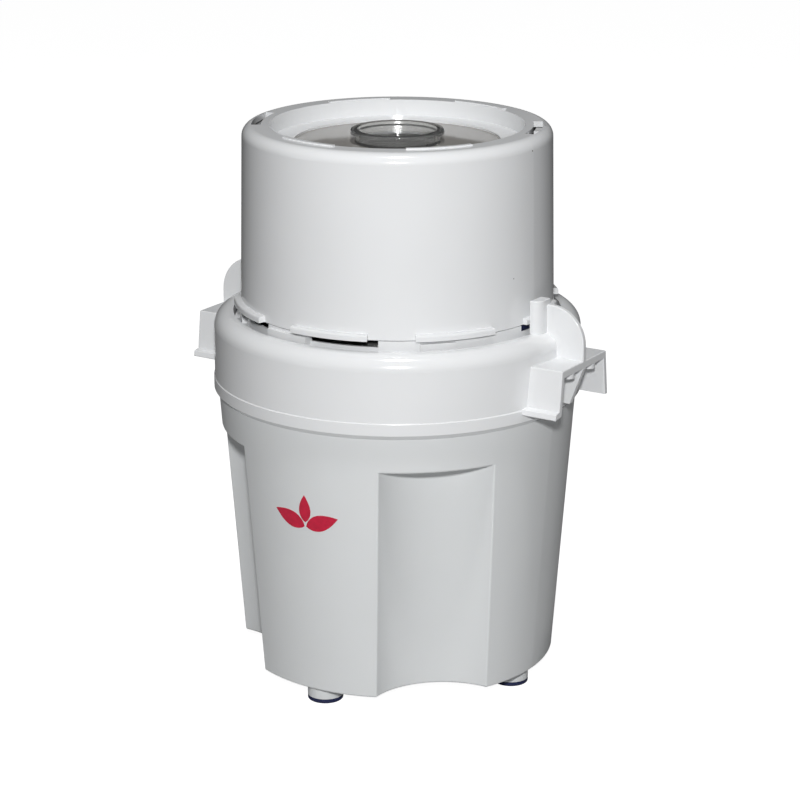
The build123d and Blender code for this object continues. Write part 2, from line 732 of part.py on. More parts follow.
SWITCH_TOP_Z = 141.0
SWITCH_H = 20.0


def make_interlock_plunger():
    """Navy push piece between the cover's rim and the switch."""
    with BuildPart() as interlock_plunger:
        with BuildSketch(Plane.XY.offset(SWITCH_TOP_Z - 4)):
            sector(RING_R - RING_WALL, PLUNGER_OUT_R, PLUNGER_TURN, PLUNGER_SPAN)
        extrude(amount=COVER_Z - REST_GAP - SWITCH_TOP_Z + 4)
    interlock_plunger.part.label = "interlock_plunger"
    export_step(interlock_plunger.part, "parts/interlock_plunger.step")


def make_switch_body():
    """Push switch under the deck, open on top where the plunger enters it."""
    middle_r = RING_R - RING_WALL / 2
    clear = 0.5
    seat = Plane.XY.rotated((0, 0, PLUNGER_TURN)).offset(SWITCH_TOP_Z - SWITCH_H)
    with BuildPart() as switch_body:
        with BuildSketch(seat):
            with Locations((middle_r, 0)):
                Rectangle(10, 18)
        extrude(amount=SWITCH_H)
        with BuildSketch(Plane.XY.offset(SWITCH_TOP_Z)):
            sector(RING_R - RING_WALL - clear, RING_R + clear, PLUNGER_TURN, PLUNGER_SPAN + 1)
        extrude(amount=-4 - PRESS_TRAVEL - clear, mode=Mode.SUBTRACT)
        # terminal blades below
        with BuildSketch(seat):
            with Locations((middle_r, -5), (middle_r, 5)):
                Rectangle(0.8, 4.8)
        extrude(amount=-6)
    switch_body.part.label = "switch_body"
    export_step(switch_body.part, "parts/switch_body.step")


# ---- motor -----------------------------------------------------------------------------
STATOR_X = 84.0
STATOR_Y = 80.0
SLOTS = 12
SLOT_W = 3.4
SLOT_ROOT_R = 11.0
WIRE_W = 3.2
BRUSH_Z = 33.0


def make_stator_core():
    with BuildPart() as stator_core:
        with BuildSketch(Plane.XY.offset(CORE_Z)):
            RectangleRounded(STATOR_X, STATOR_Y, 22)
            Circle(BORE_R, mode=Mode.SUBTRACT)
            # two windows for the field coils, beside the poles at +X and -X
            for side in (1, -1):
                for end in (1, -1):
                    with Locations((side * 22, end * 22)):
                        Rectangle(18, 10, mode=Mode.SUBTRACT)
            with Locations((0, TIE_Y), (0, -TIE_Y)):
                Circle(TIE_R, mode=Mode.SUBTRACT)
        extrude(amount=CORE_H)
    stator_core.part.label = "stator_core"
    export_step(stator_core.part, "parts/stator_core.step")


def make_field_coils():
    """Two flat racetrack coils, each through the windows beside its pole."""
    for name, side in (("field_coil_right", 1), ("field_coil_left", -1)):
        with BuildPart() as field_coil:
            with BuildSketch(Plane.YZ.offset(side * 22 - 5)):
                with Locations((0, CORE_Z + CORE_H / 2)):
                    RectangleRounded(52, CORE_H + 14, 6)
                    RectangleRounded(36, CORE_H + 0.4, 1, mode=Mode.SUBTRACT)
            extrude(amount=10)
            with BuildSketch(Plane.XY.offset(CORE_Z - 10)):
                Circle(BORE_R + 0.4)
            extrude(amount=CORE_H + 20, mode=Mode.SUBTRACT)
        field_coil.part.label = name
        export_step(field_coil.part, f"parts/{name}.step")


def make_armature_core():
    with BuildPart() as armature_core:
        with BuildSketch(Plane.XY.offset(CORE_Z)):
            Circle(CORE_R)
            Circle(SHAFT_R, mode=Mode.SUBTRACT)
            with PolarLocations((SLOT_ROOT_R + CORE_R) / 2 + 1, SLOTS):
                Rectangle(CORE_R - SLOT_ROOT_R + 2, SLOT_W, mode=Mode.SUBTRACT)
        extrude(amount=CORE_H)
    armature_core.part.label = "armature_core"
    export_step(armature_core.part, "parts/armature_core.step")


def make_armature_windings():
    with BuildPart() as armature_windings:
        with BuildSketch(Plane.XY.offset(CORE_Z)):
            with PolarLocations((SLOT_ROOT_R + CORE_R) / 2 - 0.2, SLOTS):
                Rectangle(CORE_R - SLOT_ROOT_R - 1.6, WIRE_W)
        extrude(amount=CORE_H)
        for low in (CORE_Z - 6, CORE_Z + CORE_H):
            with BuildSketch(Plane.XY.offset(low)):
                Circle(CORE_R - 1.4)
                Circle(6, mode=Mode.SUBTRACT)
            extrude(amount=6)
        levels = armature_windings.edges().filter_by(GeomType.CIRCLE).group_by(Axis.Z)
        rims = [level.sort_by(lambda e: e.radius)[-1] for level in (levels[0], levels[-1])]
        fillet(rims, radius=3)
    armature_windings.part.label = "armature_windings"
    export_step(armature_windings.part, "parts/armature_windings.step")


def make_commutator():
    with BuildPart() as commutator:
        with BuildSketch(Plane.XY.offset(COMMUTATOR_Z)):
            Circle(COMMUTATOR_R)
            Circle(SHAFT_R, mode=Mode.SUBTRACT)
            with PolarLocations(COMMUTATOR_R, 2 * SLOTS):
                Rectangle(1.6, 0.5, mode=Mode.SUBTRACT)
        extrude(amount=COMMUTATOR_H)
    commutator.part.label = "commutator"
    export_step(commutator.part, "parts/commutator.step")


def make_motor_shaft():
    with BuildPart() as motor_shaft:
        with BuildSketch(Plane.XY.offset(BRACKET_Z - 2.6)):
            Circle(SHAFT_R)
        extrude(amount=GEAR_Z + GEAR_H - BRACKET_Z + 2.6)
        chamfer(motor_shaft.edges().filter_by(GeomType.CIRCLE), length=0.5)
    motor_shaft.part.label = "motor_shaft"
    export_step(motor_shaft.part, "parts/motor_shaft.step")


def make_cooling_fan():
    with BuildPart() as cooling_fan:
        with BuildSketch(Plane.XY.offset(FAN_Z)):
            Circle(FAN_R)
            Circle(SHAFT_R, mode=Mode.SUBTRACT)
        extrude(amount=1.5)
        with BuildSketch(Plane.XY.offset(FAN_Z)):
            Circle(8)
            Circle(SHAFT_R, mode=Mode.SUBTRACT)
            with PolarLocations(17, 11):
                Rectangle(19, 1.4, rotation=18)
        extrude(amount=FAN_H)
    cooling_fan.part.label = "cooling_fan"
    export_step(cooling_fan.part, "parts/cooling_fan.step")


def make_brush_gear():
    """Brush holders on the lower bracket, with a carbon brush and a spring in each."""
    for name, side in (("right", 1), ("left", -1)):
        with BuildPart() as brush_holder:
            with BuildSketch(Plane(origin=(side * 12, 0, BRUSH_Z), z_dir=(side, 0, 0))):
                Rectangle(10.8, 9.2)
                Rectangle(8.4, 6.4, mode=Mode.SUBTRACT)
            extrude(amount=24)
            with BuildSketch(Plane(origin=(side * 36, 0, BRUSH_Z), z_dir=(side, 0, 0))):
                Rectangle(10.8, 9.2)
            extrude(amount=1.6)
            # foot that stands on the bracket's side arm
            with BuildSketch(Plane.XY.offset(BRACKET_Z + BRACKET_T)):
                with Locations((side * 26, 0)):
                    Rectangle(12, 8)
            extrude(amount=BRUSH_Z - 4.6 - BRACKET_Z - BRACKET_T)
        brush_holder.part.label = f"brush_holder_{name}"
        export_step(brush_holder.part, f"parts/brush_holder_{name}.step")
        tip_x = COMMUTATOR_R + 0.35
        with BuildPart() as carbon_brush:
            with BuildSketch(Plane(origin=(side * tip_x, 0, BRUSH_Z), z_dir=(side, 0, 0))):
                Rectangle(8, 6)
            extrude(amount=15)
        carbon_brush.part.label = f"carbon_brush_{name}"
        export_step(carbon_brush.part, f"parts/carbon_brush_{name}.step")


def make_brush_springs():
    """A coil spring behind each carbon brush."""
    turns = 4
    length = 10.4
    start_x = 24.9
    coil_r = 2.2
    wire_r = 0.4
    with BuildPart() as brush_springs:
        for side in (1, -1):
            with BuildLine():
                wire = Helix(
                    pitch=length / turns,
                    height=length,
                    radius=coil_r,
                    center=(side * start_x, 0, BRUSH_Z),
                    direction=(side, 0, 0),
                )
            with BuildSketch(Plane(origin=wire @ 0, z_dir=wire % 0)):
                Circle(wire_r)
            sweep(path=wire)
    brush_springs.part.label = "brush_springs"
    export_step(brush_springs.part, "parts/brush_springs.step")


def make_lower_bracket():
    with BuildPart() as lower_bracket:
        with BuildSketch(Plane.XY.offset(BRACKET_Z)):
            Rectangle(16, 2 * TIE_Y + 12)
            Rectangle(72, 14)
            Circle(SHAFT_R + 5, mode=Mode.SUBTRACT)
        extrude(amount=BRACKET_T)
        with BuildSketch(Plane.XY.offset(BRACKET_Z - 3)):
            Circle(12)
            Circle(SHAFT_R + 5, mode=Mode.SUBTRACT)
        extrude(amount=8)
        with BuildSketch(Plane.XY.offset(BRACKET_Z)):
            with Locations((0, TIE_Y), (0, -TIE_Y)):
                Circle(COLUMN_R)
        extrude(amount=CORE_Z - BRACKET_Z)
        with BuildSketch(Plane.XY.offset(BRACKET_Z)):
            with Locations((0, TIE_Y), (0, -TIE_Y)):
                Circle(TIE_R)
        extrude(amount=CORE_Z - BRACKET_Z, mode=Mode.SUBTRACT)
    lower_bracket.part.label = "lower_bracket"
    export_step(lower_bracket.part, "parts/lower_bracket.step")


def make_upper_bracket():
    with BuildPart() as upper_bracket:
        with BuildSketch(Plane.XY.offset(UPPER_BRACKET_Z)):
            Circle(CASE_R)
            Circle(SHAFT_R + 5, mode=Mode.SUBTRACT)
        extrude(amount=BRACKET_T)
        with BuildSketch(Plane.XY.offset(UPPER_BRACKET_Z - 3)):
            Circle(12)
            Circle(SHAFT_R + 5, mode=Mode.SUBTRACT)
        extrude(amount=4)
        with BuildSketch(Plane.XY.offset(CORE_Z + CORE_H)):
            with Locations((0, TIE_Y), (0, -TIE_Y)):
                Circle(COLUMN_R)
        extrude(amount=UPPER_BRACKET_Z - CORE_Z - CORE_H)
        with BuildSketch(Plane.XY.offset(CORE_Z + CORE_H)):
            with Locations((0, TIE_Y), (0, -TIE_Y)):
                Circle(TIE_R)
        extrude(amount=UPPER_BRACKET_Z - CORE_Z - CORE_H, mode=Mode.SUBTRACT)
    upper_bracket.part.label = "upper_bracket"
    export_step(upper_bracket.part, "parts/upper_bracket.step")


def make_bearings():
    """Sintered bushes for the motor shaft."""
    for name, low in (("lower_bearing", BRACKET_Z - 3), ("upper_bearing", UPPER_BRACKET_Z - 3)):
        with BuildPart() as bearing:
            with BuildSketch(Plane.XY.offset(low)):
                Circle(SHAFT_R + 5)
                Circle(SHAFT_R + RUN_CLEARANCE, mode=Mode.SUBTRACT)
            extrude(amount=7)
        bearing.part.label = name
        export_step(bearing.part, f"parts/{name}.step")


def make_tie_bolts():
    """Two long bolts that clamp the brackets to the stator."""
    with BuildPart() as tie_bolts:
        with BuildSketch(Plane.XY.offset(BRACKET_Z)):
            with Locations((0, TIE_Y), (0, -TIE_Y)):
                Circle(TIE_R)
        extrude(amount=UPPER_BRACKET_Z - BRACKET_Z)
        with BuildSketch(Plane.XY.offset(BRACKET_Z)):
            with Locations((0, TIE_Y), (0, -TIE_Y)):
                RegularPolygon(3.4, 6)
        extrude(amount=-2.8)
    tie_bolts.part.label = "tie_bolts"
    export_step(tie_bolts.part, "parts/tie_bolts.step")


def make_capacitor():
    """Interference suppressor on the base plate."""
    with BuildPart() as capacitor:
        with BuildSketch(Plane.XY.offset(BASE_PLATE_Z + BASE_PLATE_T)):
            with Locations((30, 30)):
                RectangleRounded(18, 12, 2)
        extrude(amount=22)
        fillet(capacitor.faces().sort_by(Axis.Z)[-1].edges(), radius=1)
    capacitor.part.label = "capacitor"
    export_step(capacitor.part, "parts/capacitor.step")


# ---- reduction gearbox -----------------------------------------------------------------
def make_gear_case():
    with BuildPart() as gear_case:
        with BuildSketch(Plane.XZ):
            outline(
                (RING_GEAR_R, CASE_Z),
                (CASE_R, CASE_Z),
                (CASE_R, CASE_TOP_Z - CASE_TOP_T),
                (GEAR_SCREW_CIRCLE_R + 5, CASE_TOP_Z - CASE_TOP_T),
                (GEAR_SCREW_CIRCLE_R + 5, CASE_TOP_Z),
                (OUTPUT_BUSH_R, CASE_TOP_Z),
                (OUTPUT_BUSH_R, CASE_TOP_Z - CASE_TOP_T),
                (RING_GEAR_R, CASE_TOP_Z - CASE_TOP_T),
            )
        revolve(axis=Axis.Z)
        with BuildSketch(Plane.XY.offset(CASE_TOP_Z)):
            with PolarLocations(GEAR_SCREW_CIRCLE_R, 4, start_angle=45):
                Circle(BASE_SCREW_R)
        extrude(amount=-CASE_TOP_T, mode=Mode.SUBTRACT)
    gear_case.part.label = "gear_case"
    export_step(gear_case.part, "parts/gear_case.step")


def make_gear_case_screws():
    with BuildPart() as gear_case_screws:
        with BuildSketch(Plane.XY.offset(CASE_TOP_Z - CASE_TOP_T)):
            with PolarLocations(GEAR_SCREW_CIRCLE_R, 4, start_angle=45):
                Circle(BASE_SCREW_R)
        extrude(amount=9)
        with BuildSketch(Plane.XY.offset(CASE_TOP_Z - CASE_TOP_T)):
            with PolarLocations(GEAR_SCREW_CIRCLE_R, 4, start_angle=45):
                Circle(3.2)
        extrude(amount=-2.2)
    gear_case_screws.part.label = "gear_case_screws"
    export_step(gear_case_screws.part, "parts/gear_case_screws.step")


def make_ring_gear():
    pitch_r = MODULE * RING_TEETH / 2
    spaces = gear_points(
        RING_TEETH, pitch_r - MODULE, pitch_r + 1.25 * MODULE, -BACKLASH / 2, ring_gear_turn()
    )
    with BuildPart() as ring_gear:
        with BuildSketch(Plane.XY.offset(GEAR_Z)):
            Circle(RING_GEAR_R)
            with BuildSketch(mode=Mode.SUBTRACT):
                outline(*spaces)
        extrude(amount=GEAR_H)
    ring_gear.part.label = "ring_gear"
    export_step(ring_gear.part, "parts/ring_gear.step")


def make_sun_pinion():
    with BuildPart() as sun_pinion:
        with BuildSketch(Plane.XY.offset(GEAR_Z)):
            external_gear(SUN_TEETH)
            Circle(SHAFT_R, mode=Mode.SUBTRACT)
        extrude(amount=GEAR_H)
    sun_pinion.part.label = "sun_pinion"
    export_step(sun_pinion.part, "parts/sun_pinion.step")


def make_planet_gears():
    for index in range(PLANETS):
        x, y = planet_centre(index)
        with BuildPart() as planet_gear:
            with BuildSketch(Plane(origin=(x, y, GEAR_Z))):
                external_gear(PLANET_TEETH, planet_turn(index))
                Circle(PIN_R + RUN_CLEARANCE, mode=Mode.SUBTRACT)
            extrude(amount=GEAR_H)
        planet_gear.part.label = f"planet_gear_{index + 1}"
        export_step(planet_gear.part, f"parts/planet_gear_{index + 1}.step")


def make_planet_carrier():
    centres = [planet_centre(index) for index in range(PLANETS)]
    with BuildPart() as planet_carrier:
        with BuildSketch(Plane.XY.offset(CARRIER_Z)):
            Circle(CARRIER_R)
            Circle(OUTPUT_R, mode=Mode.SUBTRACT)
            with Locations(*centres):
                Circle(PIN_R, mode=Mode.SUBTRACT)
        extrude(amount=CARRIER_T)
    planet_carrier.part.label = "planet_carrier"
    export_step(planet_carrier.part, "parts/planet_carrier.step")
    with BuildPart() as planet_pins:
        with BuildSketch(Plane.XY.offset(GEAR_Z)):
            with Locations(*centres):
                Circle(PIN_R)
        extrude(amount=CARRIER_Z + CARRIER_T - GEAR_Z)
    planet_pins.part.label = "planet_pins"
    export_step(planet_pins.part, "parts/planet_pins.step")


def make_output_shaft():
    with BuildPart() as output_shaft:
        with BuildSketch(Plane.XY.offset(CARRIER_Z)):
            Circle(OUTPUT_R)
        extrude(amount=DOG_TOP_Z - 2 - CARRIER_Z)
    output_shaft.part.label = "output_shaft"
    export_step(output_shaft.part, "parts/output_shaft.step")
    with BuildPart() as drive_dog:
        with BuildSketch(Plane.XY.offset(DOG_TOP_Z - 14)):
            RegularPolygon(DOG_FLATS / 2, 6, major_radius=False)
        extrude(amount=14)
        chamfer(drive_dog.faces().sort_by(Axis.Z)[-1].edges(), length=0.8)
        with BuildSketch(Plane.XY.offset(DOG_TOP_Z - 14)):
            Circle(OUTPUT_R)
        extrude(amount=12, mode=Mode.SUBTRACT)
    drive_dog.part.label = "drive_dog"
    export_step(drive_dog.part, "parts/drive_dog.step")


def make_output_bearing():
    with BuildPart() as output_bearing:
        with BuildSketch(Plane.XY.offset(CASE_TOP_Z - CASE_TOP_T)):
            Circle(OUTPUT_BUSH_R)
            Circle(OUTPUT_R + RUN_CLEARANCE, mode=Mode.SUBTRACT)
        extrude(amount=NECK_TOP_Z - 3 - CASE_TOP_Z + CASE_TOP_T)
    output_bearing.part.label = "output_bearing"
    export_step(output_bearing.part, "parts/output_bearing.step")
    with BuildPart() as shaft_seal:
        with BuildSketch(Plane.XY.offset(NECK_TOP_Z - 3)):
            Circle(OUTPUT_BUSH_R)
            Circle(OUTPUT_R + 0.08, mode=Mode.SUBTRACT)
        extrude(amount=3)
    shaft_seal.part.label = "shaft_seal"
    export_step(shaft_seal.part, "parts/shaft_seal.step")


# ---- bowl and blade --------------------------------------------------------------------
def make_bowl():
    floor_z = BOWL_Z + BOWL_WALL
    with BuildPart() as bowl:
        with BuildSketch(Plane.XZ) as section:
            outline(
                (TUNNEL_BORE_R, BOWL_Z),
                (BOWL_R - 2, BOWL_Z),
                (BOWL_R, BOWL_TOP_Z - 4),
                (BOWL_R + 2, BOWL_TOP_Z - 4),
                (BOWL_R + 2, BOWL_TOP_Z),
                (BOWL_R - BOWL_WALL, BOWL_TOP_Z),
                (BOWL_R - 2 - BOWL_WALL, floor_z),
                (TUNNEL_R, floor_z),
                (TUNNEL_R, TUNNEL_TOP_Z),
                (TUNNEL_BORE_R, TUNNEL_TOP_Z),
            )
            floor_corner = section.vertices().sort_by_distance((BOWL_R - 4, floor_z))[0]
            fillet(floor_corner, radius=6)
            foot_corner = section.vertices().sort_by_distance((BOWL_R - 2, BOWL_Z))[0]
            fillet(foot_corner, radius=5)
        revolve(axis=Axis.Z)
    bowl.part.label = "bowl"
    export_step(bowl.part, "parts/bowl.step")


HUB_Z = BOWL_Z + BOWL_WALL + 0.5
LOWER_BLADE_Z = 165.0
UPPER_BLADE_Z = 181.0
HUB_R = 15.0


def make_blade_hub():
    """Sleeve over the bowl's tunnel, with a hexagonal socket in its head."""
    with BuildPart() as blade_hub:
        with BuildSketch(Plane.XZ) as section:
            outline((0, HUB_Z), (HUB_R, HUB_Z), (HUB_R - 1, HUB_TOP_Z), (0, HUB_TOP_Z))
            head = section.vertices().group_by(Axis.Y)[-1].sort_by(Axis.X)[-1]
            fillet(head, radius=3)
        revolve(axis=Axis.Z)
        with BuildSketch(Plane.XY.offset(HUB_Z)):
            Circle(HUB_BORE_R)
        extrude(amount=TUNNEL_TOP_Z + REST_GAP - HUB_Z, mode=Mode.SUBTRACT)
        with BuildSketch(Plane.XY.offset(HUB_Z)):
            RegularPolygon(DOG_FLATS / 2 + 0.35, 6, major_radius=False)
        extrude(amount=DOG_TOP_Z + PRESS_TRAVEL + 1 - HUB_Z, mode=Mode.SUBTRACT)
    blade_hub.part.label = "blade_hub"
    export_step(blade_hub.part, "parts/blade_hub.step")


def make_blades():
    for name, level, turn in (("lower_blade", LOWER_BLADE_Z, 0), ("upper_blade", UPPER_BLADE_Z, 90)):
        with BuildPart() as blade:
            with BuildSketch(Plane.XY.rotated((0, 0, turn)).offset(level)):
                Circle(HUB_R + 3)
                blade_half(0)
                blade_half(180)
                Circle(HUB_R, mode=Mode.SUBTRACT)
            extrude(amount=BLADE_T)
        blade.part.label = name
        export_step(blade.part, f"parts/{name}.step")


def blade_half(turn):
    """Outline of one swept blade, in the sketch that is open."""
    def at(radius, angle):
        way = radians(angle + turn)
        return radius * cos(way), radius * sin(way)

    with BuildLine() as edge:
        ThreePointArc(at(HUB_R + 1, -40), at(BLADE_R * 0.72, -6), at(BLADE_R, 22))
        ThreePointArc(at(HUB_R + 1, 45), at(BLADE_R * 0.62, 28), at(BLADE_R, 22))
        Line(at(HUB_R + 1, -40), at(HUB_R + 1, 45))
    make_face(edge.edges())


# ---- cover, window and knob ------------------------------------------------------------
STRIPS = (-40.0, 80.0, 140.0, 260.0)
STRIP_W = 2.0
STRIP_H = 0.6
STRIP_SPAN = 29.0
COVER_SLOTS = (22.0, 202.0)
COVER_SLOT_W = 4.4
COVER_SLOT_SPAN = 27.0
CATCH_SPAN = 8.0
CATCH_H = 1.8


def make_cover_shell():
    lip = 2.4
    under = COVER_TOP_Z - 2.6
    tab_top_z = COVER_Z + TAB_H
    strip_r = COVER_MOUTH_R + 0.6
    slot_r = COVER_MOUTH_R + 3.6
    with BuildPart() as cover_shell:
        with BuildSketch(Plane.XZ) as section:
            outline(
                (COVER_R_BOTTOM - COVER_WALL, COVER_Z),
                (COVER_R_BOTTOM, COVER_Z),
                (COVER_R_TOP, COVER_TOP_Z),
                (COVER_MOUTH_R, COVER_TOP_Z),
                (COVER_MOUTH_R - 0.4, MOUTH_LEDGE_Z),
                (MOUTH_LEDGE_R, MOUTH_LEDGE_Z),
                (MOUTH_LEDGE_R, WINDOW_TOP_Z),
                (COVER_MOUTH_R + lip, WINDOW_TOP_Z),
                (COVER_MOUTH_R + lip, under),
                (COVER_R_TOP - COVER_WALL, under),
            )
            top = section.vertices().group_by(Axis.Y)[-1].sort_by(Axis.X)
            fillet(top[-1], radius=5)
            fillet(top[0], radius=1)
            inner = section.vertices().sort_by_distance((COVER_R_TOP - COVER_WALL, under))[0]
            fillet(inner, radius=2.6)
        revolve(axis=Axis.Z)
        # short tabs around the lower edge
        with BuildSketch(Plane.XY.offset(COVER_Z)):
            for index in range(8):
                tab_r = POST_TAB_R if index in (0, 4) else TAB_R
                sector(COVER_R_BOTTOM - 1, tab_r, TAB_START + 45 * index, TAB_SPAN)
        extrude(amount=TAB_H)
        tab_tops = cover_shell.edges().filter_by_position(Axis.Z, tab_top_z - 0.01, tab_top_z + 0.01)
        tab_rims = [e for e in tab_tops.filter_by(GeomType.CIRCLE) if e.radius > POST_TAB_R - 0.01]
        fillet(tab_rims, radius=1)
        # thin raised strips along the mouth, and two arc slots between them
        with BuildSketch(Plane.XY.offset(COVER_TOP_Z - 0.2)):
            for middle in STRIPS:
                sector(strip_r, strip_r + STRIP_W, middle, STRIP_SPAN)
        extrude(amount=0.2 + STRIP_H)
        with BuildSketch(Plane.XY.offset(COVER_TOP_Z)):
            for middle in COVER_SLOTS:
                sector(slot_r, slot_r + COVER_SLOT_W, middle, COVER_SLOT_SPAN)
        extrude(amount=-4, mode=Mode.SUBTRACT)
        # catch in the first slot, standing on the slot's outer wall
        with BuildSketch(Plane.XY.offset(under)):
            sector(slot_r + 1.2, slot_r + COVER_SLOT_W + 0.5, COVER_SLOTS[0], CATCH_SPAN)
        extrude(amount=CATCH_H)
    cover_shell.part.label = "cover_shell"
    export_step(cover_shell.part, "parts/cover_shell.step")


def make_window_disc():
    with BuildPart() as window_disc:
        with BuildSketch(Plane.XY.offset(WINDOW_TOP_Z - WINDOW_T)):
            Circle(WINDOW_R)
        extrude(amount=WINDOW_T)
    window_disc.part.label = "window_disc"
    export_step(window_disc.part, "parts/window_disc.step")


def make_clear_knob():
    """Shallow open cup with a thin floor and a flanged rim."""
    rim_z = WINDOW_TOP_Z + KNOB_H
    with BuildPart() as clear_knob:
        with BuildSketch(Plane.XZ) as section:
            outline(
                (0, WINDOW_TOP_Z),
                (KNOB_TUBE_R, WINDOW_TOP_Z),
                (KNOB_TUBE_R, rim_z - 2.4),
                (KNOB_R, rim_z - 1.8),
                (KNOB_R, rim_z),
                (KNOB_TUBE_R - KNOB_WALL, rim_z),
                (KNOB_TUBE_R - KNOB_WALL - 0.3, WINDOW_TOP_Z + KNOB_FLOOR_T),
                (0, WINDOW_TOP_Z + KNOB_FLOOR_T),
            )
            fillet(section.vertices().group_by(Axis.Y)[-1].sort_by(Axis.X)[-1], radius=0.8)
        revolve(axis=Axis.Z)
    clear_knob.part.label = "clear_knob"
    export_step(clear_knob.part, "parts/clear_knob.step")


def make_cover_gasket():
    with BuildPart() as cover_gasket:
        with BuildSketch(Plane.XZ):
            outline(
                (WINDOW_R - 3.6, BOWL_TOP_Z + REST_GAP),
                (WINDOW_R, BOWL_TOP_Z + REST_GAP),
                (WINDOW_R, WINDOW_TOP_Z - WINDOW_T),
                (WINDOW_R - 3.6, WINDOW_TOP_Z - WINDOW_T),
            )
        revolve(axis=Axis.Z)
    cover_gasket.part.label = "cover_gasket"
    export_step(cover_gasket.part, "parts/cover_gasket.step")


make_motor_housing()
make_base_plate()
make_foot_pads()
make_base_screws()
make_cord_inlet()
make_collar()
make_top_deck()
make_deck_screws()
make_grip("grip_right", 1)
make_grip("grip_left", -1)
make_grip_screws()
make_seat_ring()
make_return_springs()
make_interlock_plunger()
make_switch_body()
make_stator_core()
make_field_coils()
make_armature_core()
make_armature_windings()
make_commutator()
make_motor_shaft()
make_cooling_fan()
make_brush_gear()
make_brush_springs()
make_lower_bracket()
make_upper_bracket()
make_bearings()
make_tie_bolts()
make_capacitor()
make_gear_case()
make_gear_case_screws()
make_ring_gear()
make_sun_pinion()
make_planet_gears()
make_planet_carrier()
make_output_shaft()
make_output_bearing()
make_bowl()
make_blade_hub()
make_blades()
make_cover_shell()
make_window_disc()
make_clear_knob()
make_cover_gasket()
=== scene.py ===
import math

import bmesh
import bpy
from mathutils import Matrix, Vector
from mathutils.bvhtree import BVHTree


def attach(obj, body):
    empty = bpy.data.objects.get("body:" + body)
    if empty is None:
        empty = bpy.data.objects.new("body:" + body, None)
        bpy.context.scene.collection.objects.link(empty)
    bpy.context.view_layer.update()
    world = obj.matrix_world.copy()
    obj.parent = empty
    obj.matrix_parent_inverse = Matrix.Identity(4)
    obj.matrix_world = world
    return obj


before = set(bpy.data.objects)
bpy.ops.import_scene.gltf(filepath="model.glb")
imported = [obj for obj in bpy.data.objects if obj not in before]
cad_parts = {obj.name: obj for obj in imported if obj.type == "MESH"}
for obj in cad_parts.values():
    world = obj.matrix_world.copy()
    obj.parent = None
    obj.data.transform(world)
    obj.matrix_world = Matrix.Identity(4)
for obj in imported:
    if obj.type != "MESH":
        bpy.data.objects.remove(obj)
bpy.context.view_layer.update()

# Electric food chopper. Metres, +Z up, z = 0 under the feet, the plain front lobe at -Y.

MM = 0.001

# ---- node helpers ----------------------------------------------------------------------
def new_material(name):
    """An empty node material with its Principled shader already joined to the output."""
    material = bpy.data.materials.new(name)
    material.use_nodes = True
    tree = material.node_tree
    tree.nodes.clear()
    output = tree.nodes.new("ShaderNodeOutputMaterial")
    shader = tree.nodes.new("ShaderNodeBsdfPrincipled")
    tree.links.new(shader.outputs["BSDF"], output.inputs["Surface"])
    return material, tree, shader


def set_sockets(shader, **values):
    """Set sockets by name; an underscore in the name stands for a space."""
    for name, value in values.items():
        shader.inputs[name.replace("_", " ")].default_value = value


def noise(tree, scale, detail=2.0, rough=0.5, stretch=None):
    """Noise over the object's own coordinates; stretch squeezes it along X, Y, Z."""
    coordinates = tree.nodes.new("ShaderNodeTexCoord")
    texture = tree.nodes.new("ShaderNodeTexNoise")
    texture.inputs["Scale"].default_value = scale
    texture.inputs["Detail"].default_value = detail
    texture.inputs["Roughness"].default_value = rough
    if stretch:
        mapping = tree.nodes.new("ShaderNodeMapping")
        mapping.inputs["Scale"].default_value = stretch
        tree.links.new(coordinates.outputs["Object"], mapping.inputs["Vector"])
        tree.links.new(mapping.outputs["Vector"], texture.inputs["Vector"])
    else:
        tree.links.new(coordinates.outputs["Object"], texture.inputs["Vector"])
    return texture.outputs["Fac"]


def ramp(tree, value, *stops):
    """Colour ramp with (position, colour) stops."""
    node = tree.nodes.new("ShaderNodeValToRGB")
    elements = node.color_ramp.elements
    while len(elements) < len(stops):
        elements.new(0.5)
    for element, (position, colour) in zip(elements, stops):
        element.position = position
        element.color = (*colour, 1.0)
    tree.links.new(value, node.inputs["Fac"])
    return node.outputs["Color"]


def spread(tree, value, low, high, start=0.3, end=0.7):
    """Map a noise value between start and end onto low to high."""
    node = tree.nodes.new("ShaderNodeMapRange")
    node.inputs["From Min"].default_value = start
    node.inputs["From Max"].default_value = end
    node.inputs["To Min"].default_value = low
    node.inputs["To Max"].default_value = high
    tree.links.new(value, node.inputs["Value"])
    return node.outputs["Result"]


def bump(tree, shader, *layers):
    """Stack bump layers, each (height, depth in metres), and join them to the shader."""
    normal = None
    for height, depth in layers:
        node = tree.nodes.new("ShaderNodeBump")
        node.inputs["Strength"].default_value = 1.0
        node.inputs["Distance"].default_value = depth
        tree.links.new(height, node.inputs["Height"])
        if normal is not None:
            tree.links.new(normal, node.inputs["Normal"])
        normal = node.outputs["Normal"]
    tree.links.new(normal, shader.inputs["Normal"])


def tint(colour, share):
    """The colour made lighter or darker by a share."""
    return tuple(min(1.0, channel * share) for channel in colour)


def compare(tree, value, threshold, above):
    """1 where the value is above, or else below, the threshold."""
    node = tree.nodes.new("ShaderNodeMath")
    node.operation = "GREATER_THAN" if above else "LESS_THAN"
    node.inputs[1].default_value = threshold
    tree.links.new(value, node.inputs[0])
    return node.outputs["Value"]


SPECK_CELLS = 75.0
SPECK_SIZE = 0.028
SPECK_RARITY = 0.72
SPECK_COLOUR = (0.2, 0.18, 0.15, 1)
# Socket places of the Mix node in its colour mode, where the names repeat.
MIX_A, MIX_B, MIX_RESULT = 6, 7, 2


